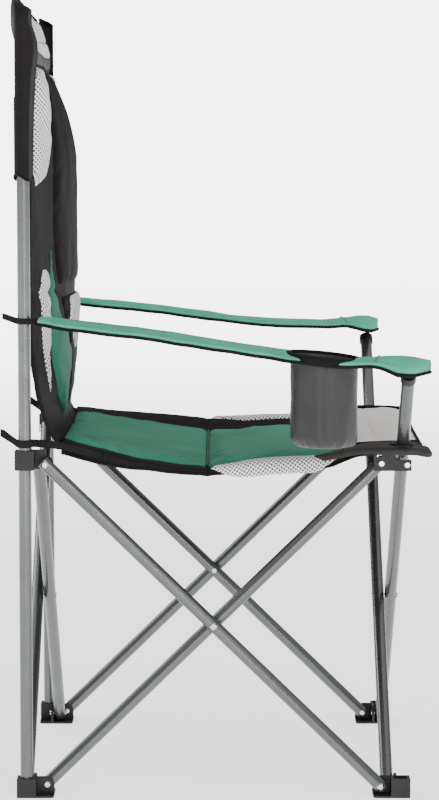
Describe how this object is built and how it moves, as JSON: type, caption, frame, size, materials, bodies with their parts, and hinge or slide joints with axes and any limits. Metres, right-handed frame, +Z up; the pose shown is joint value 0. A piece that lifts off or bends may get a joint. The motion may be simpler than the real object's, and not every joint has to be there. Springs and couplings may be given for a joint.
{
  "type": "folding camp chair",
  "caption": "Folding camp chair with a steel tube scissor frame, padded sling seat and high back, fabric armrests and a hanging cup holder.",
  "frame": {"origin": "on the floor, at the middle of the open chair's outline", "axes": "+X the way the sitter faces, +Y to the sitter's left, +Z up"},
  "size_m": [0.5869, 0.8212, 1.136],
  "materials": {
    "frame_tube": "satin grey paint on steel tube",
    "rivet_steel": "bright zinc plated rivets",
    "black_plastic": "moulded nylon",
    "green_fabric": "woven polyester",
    "black_fabric": "woven polyester",
    "light_mesh": "open spacer mesh",
    "webbing": "ribbed webbing",
    "cup_fabric": "coated polyester"
  },
  "bodies": {
    "right_rear_post": {"right_upright": "frame_tube", "upright_caps_right": "black_plastic", "right_rear_foot": "black_plastic", "right_rear_foot_rivets": "rivet_steel", "right_back_sleeve": "black_fabric", "backrest": "black_fabric"},
    "right_leg_inner": {"right_leg_inner": "frame_tube", "right_leg_inner_plugs": "black_plastic", "right_cross_rivet": "rivet_steel"},
    "right_leg_outer": {"right_leg_outer": "frame_tube", "right_leg_outer_plugs": "black_plastic"},
    "right_collar": {"right_collar": "black_plastic", "right_collar_rivets": "rivet_steel", "right_seat_strap": "webbing"},
    "right_front_foot": {"right_front_foot": "black_plastic", "right_front_foot_rivets": "rivet_steel"},
    "right_front_bracket": {"right_front_bracket": "black_plastic", "right_front_bracket_rivets": "rivet_steel", "right_seat_corner": "black_fabric"},
    "rear_leg_outer": {"rear_leg_outer": "frame_tube", "rear_leg_outer_plugs": "black_plastic"},
    "rear_leg_inner": {"rear_leg_inner": "frame_tube", "rear_leg_inner_plugs": "black_plastic", "rear_cross_rivet": "rivet_steel"},
    "left_rear_post": {"left_upright": "frame_tube", "upright_caps_left": "black_plastic", "left_rear_foot": "black_plastic", "left_rear_foot_rivets": "rivet_steel", "left_back_sleeve": "black_fabric"},
    "left_collar": {"left_collar": "black_plastic", "left_collar_rivets": "rivet_steel", "left_seat_strap": "webbing"},
    "left_leg_outer": {"left_leg_outer": "frame_tube", "left_leg_outer_plugs": "black_plastic"},
    "left_leg_inner": {"left_leg_inner": "frame_tube", "left_leg_inner_plugs": "black_plastic", "left_cross_rivet": "rivet_steel"},
    "left_front_foot": {"left_front_foot": "black_plastic", "left_front_foot_rivets": "rivet_steel"},
    "left_front_bracket": {"left_front_bracket": "black_plastic", "left_front_bracket_rivets": "rivet_steel", "left_seat_corner": "black_fabric"},
    "front_leg_inner": {"front_leg_inner": "frame_tube", "front_leg_inner_plug": "black_plastic", "left_arm_tube_cap": "black_plastic", "front_cross_rivet": "rivet_steel"},
    "front_leg_outer": {"front_leg_outer": "frame_tube", "front_leg_outer_plug": "black_plastic", "right_arm_tube_cap": "black_plastic"},
    "right_arm_loop": {"right_arm_loop": "webbing"},
    "left_arm_loop": {"left_arm_loop": "webbing"},
    "right_arm_rear": {"right_arm_rear": "green_fabric"},
    "left_arm_rear": {"left_arm_rear": "green_fabric"},
    "right_arm_front": {"right_arm_front": "green_fabric", "cup_holder": "cup_fabric", "cup_ring": "black_plastic"},
    "left_arm_front": {"left_arm_front": "green_fabric"},
    "seat_rear": {"seat_rear": "green_fabric"},
    "seat_front": {"seat_front": "green_fabric"}
  },
  "joints": [
    {"name": "fold", "type": "hinge", "parent": "right_rear_post", "child": "right_leg_inner", "pos_m": [-0.244, -0.2457, 0.0155], "axis": [0, -1, 0], "range_deg": [0, 40], "deforming": ["backrest"]},
    {"name": "right_cross_pivot", "type": "hinge", "parent": "right_leg_inner", "child": "right_leg_outer", "pos_m": [-0.009, -0.2457, 0.24375], "axis": [0, 1, 0], "range_deg": [0, 80]},
    {"name": "right_collar_pivot", "type": "hinge", "parent": "right_leg_outer", "child": "right_collar", "pos_m": [-0.244, -0.2643, 0.472], "axis": [0, -1, 0], "range_deg": [0, 40]},
    {"name": "right_front_foot_pivot", "type": "hinge", "parent": "right_leg_outer", "child": "right_front_foot", "pos_m": [0.226, -0.2643, 0.0155], "axis": [0, -1, 0], "range_deg": [0, 40]},
    {"name": "right_bracket_pivot", "type": "hinge", "parent": "right_leg_inner", "child": "right_front_bracket", "pos_m": [0.226, -0.2457, 0.472], "axis": [0, 1, 0], "range_deg": [0, 40], "deforming": ["right_seat_corner"]},
    {"name": "right_rear_foot_pivot", "type": "hinge", "parent": "right_rear_post", "child": "rear_leg_outer", "pos_m": [-0.2733, -0.235, 0.0155], "axis": [1, 0, 0], "range_deg": [0, 40]},
    {"name": "rear_cross_pivot", "type": "hinge", "parent": "rear_leg_outer", "child": "rear_leg_inner", "pos_m": [-0.2733, 0, 0.24375], "axis": [-1, 0, 0], "range_deg": [0, 80]},
    {"name": "left_rear_foot_pivot", "type": "hinge", "parent": "rear_leg_inner", "child": "left_rear_post", "pos_m": [-0.2547, 0.235, 0.0155], "axis": [1, 0, 0], "range_deg": [0, 40]},
    {"name": "left_collar_pivot", "type": "hinge", "parent": "rear_leg_outer", "child": "left_collar", "pos_m": [-0.2733, 0.235, 0.472], "axis": [-1, 0, 0], "range_deg": [0, 40], "deforming": ["left_seat_strap"]},
    {"name": "left_leg_foot_pivot", "type": "hinge", "parent": "left_rear_post", "child": "left_leg_outer", "pos_m": [-0.244, 0.2643, 0.0155], "axis": [0, -1, 0], "range_deg": [0, 40]},
    {"name": "left_cross_pivot", "type": "hinge", "parent": "left_leg_outer", "child": "left_leg_inner", "pos_m": [-0.009, 0.2643, 0.24375], "axis": [0, 1, 0], "range_deg": [0, 80]},
    {"name": "left_front_foot_pivot", "type": "hinge", "parent": "left_leg_inner", "child": "left_front_foot", "pos_m": [0.226, 0.2457, 0.0155], "axis": [0, -1, 0], "range_deg": [0, 40]},
    {"name": "left_bracket_pivot", "type": "hinge", "parent": "left_leg_outer", "child": "left_front_bracket", "pos_m": [0.226, 0.2643, 0.472], "axis": [0, 1, 0], "range_deg": [0, 40], "deforming": ["left_seat_corner"]},
    {"name": "front_leg_foot_pivot", "type": "hinge", "parent": "right_front_foot", "child": "front_leg_inner", "pos_m": [0.2367, -0.235, 0.0155], "axis": [1, 0, 0], "range_deg": [0, 40]},
    {"name": "front_cross_pivot", "type": "hinge", "parent": "front_leg_inner", "child": "front_leg_outer", "pos_m": [0.2367, 0, 0.24375], "axis": [-1, 0, 0], "range_deg": [0, 80]},
    {"name": "right_arm_loop_slide", "type": "slide", "parent": "right_rear_post", "child": "right_arm_loop", "axis": [0, 0, 1], "range_m": [0, 0.05]},
    {"name": "left_arm_loop_slide", "type": "slide", "parent": "left_rear_post", "child": "left_arm_loop", "axis": [0, 0, 1], "range_m": [0, 0.05]},
    {"name": "right_arm_swing", "type": "hinge", "parent": "right_arm_loop", "child": "right_arm_rear", "pos_m": [-0.2725, -0.2635, 0.672], "axis": [0.2096, 0.7052, 0.6773], "range_deg": [0, 18.39]},
    {"name": "right_arm_bend", "type": "hinge", "parent": "right_arm_rear", "child": "right_arm_front", "pos_m": [-0.0086, -0.31669, 0.64573], "axis": [-0.1893, -0.9787, 0.0797], "range_deg": [0, 137.87], "deforming": ["right_arm_rear", "right_arm_front", "cup_holder", "cup_ring"]},
    {"name": "left_arm_swing", "type": "hinge", "parent": "left_arm_loop", "child": "left_arm_rear", "pos_m": [-0.2725, 0.2635, 0.672], "axis": [-0.1979, 0.5447, -0.8149], "range_deg": [0, 16.34]},
    {"name": "left_arm_bend", "type": "hinge", "parent": "left_arm_rear", "child": "left_arm_front", "pos_m": [-0.0179, 0.31669, 0.64573], "axis": [0.1963, -0.9776, -0.0764], "range_deg": [0, 139], "deforming": ["left_arm_rear", "left_arm_front"]},
    {"name": "seat_rear_drop", "type": "hinge", "parent": "right_collar", "child": "seat_rear", "pos_m": [-0.216, 0, 0.492], "axis": [0, 1, 0], "range_deg": [0, 80], "deforming": ["seat_rear", "right_seat_strap"]},
    {"name": "seat_front_drop", "type": "hinge", "parent": "right_front_bracket", "child": "seat_front", "pos_m": [0.22, 0, 0.48], "axis": [0, -1, 0], "range_deg": [0, 80], "deforming": ["seat_front"]}
  ],
  "couplings": [
    {"joint": "right_cross_pivot", "follows": "fold", "ratio": 2},
    {"joint": "right_collar_pivot", "follows": "fold", "ratio": 1},
    {"joint": "right_front_foot_pivot", "follows": "fold", "ratio": 1},
    {"joint": "right_bracket_pivot", "follows": "fold", "ratio": 1},
    {"joint": "right_rear_foot_pivot", "follows": "fold", "ratio": 1},
    {"joint": "rear_cross_pivot", "follows": "fold", "ratio": 2},
    {"joint": "left_rear_foot_pivot", "follows": "fold", "ratio": 1},
    {"joint": "left_collar_pivot", "follows": "fold", "ratio": 1},
    {"joint": "left_leg_foot_pivot", "follows": "fold", "ratio": 1},
    {"joint": "left_cross_pivot", "follows": "fold", "ratio": 2},
    {"joint": "left_front_foot_pivot", "follows": "fold", "ratio": 1},
    {"joint": "left_bracket_pivot", "follows": "fold", "ratio": 1},
    {"joint": "front_leg_foot_pivot", "follows": "fold", "ratio": 1},
    {"joint": "front_cross_pivot", "follows": "fold", "ratio": 2},
    {"joint": "right_arm_loop_slide", "follows": "fold", "m_per_rad": 0.071},
    {"joint": "left_arm_loop_slide", "follows": "fold", "m_per_rad": 0.071},
    {"joint": "right_arm_swing", "follows": "fold", "ratio": 0.45911},
    {"joint": "right_arm_bend", "follows": "fold", "ratio": 3.4463},
    {"joint": "left_arm_swing", "follows": "fold", "ratio": 0.40795},
    {"joint": "left_arm_bend", "follows": "fold", "ratio": 3.4745},
    {"joint": "seat_rear_drop", "follows": "fold", "ratio": 2},
    {"joint": "seat_front_drop", "follows": "fold", "ratio": 2}
  ]
}
